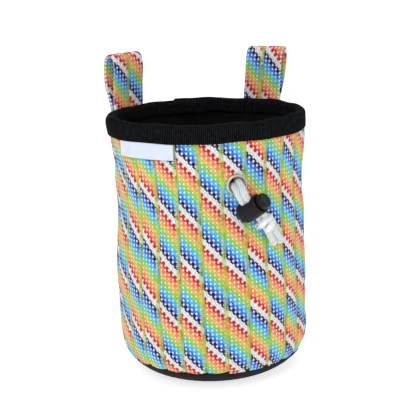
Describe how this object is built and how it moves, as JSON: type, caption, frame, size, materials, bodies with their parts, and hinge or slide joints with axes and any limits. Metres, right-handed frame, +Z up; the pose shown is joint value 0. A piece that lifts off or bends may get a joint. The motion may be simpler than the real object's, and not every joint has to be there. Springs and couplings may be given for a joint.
{
  "type": "climbing chalk bag",
  "caption": "Round fabric chalk bag with a stiff bound rim, fleece lining, drawcord with a spring cord lock at the front, blank label and belt loops at the back.",
  "frame": {"origin": "on the bag's axis, on the flat underside of the base", "axes": "+Z up along the bag's axis, -Y out of the front with the grommet and cord lock, +X to the right seen from the front"},
  "size_m": [0.1281, 0.1439, 0.2009],
  "materials": {
    "striped_fabric": "matte weave of slanted rainbow stripes with white dots",
    "black_fabric": "matte",
    "black_fleece": "napped, matte",
    "black_tape": "ribbed webbing",
    "label_cloth": "fine satin weave, bare",
    "nickel": "satin nickel plate",
    "white_cord": "braided",
    "black_plastic": "satin"
  },
  "bodies": {
    "bag": {"shell": "striped_fabric", "base": "black_fabric", "lining": "black_fleece", "rim_binding": "black_tape", "label": "label_cloth", "grommet": "nickel", "drawcord_left": "white_cord", "drawcord_right": "white_cord", "drawcord_tail_left": "white_cord", "drawcord_tail_right": "white_cord", "cord_knot": "white_cord", "cord_lock_body": "black_plastic", "belt_loop_left": "striped_fabric", "belt_loop_right": "striped_fabric"},
    "lock_button": {"cord_lock_button": "black_plastic"}
  },
  "joints": [
    {"name": "button_press", "type": "slide", "parent": "bag", "child": "lock_button", "axis": [-0.5971, 0.5807, -0.5534], "range_m": [0, 0.0022], "stiffness_N_per_m": 1200}
  ]
}
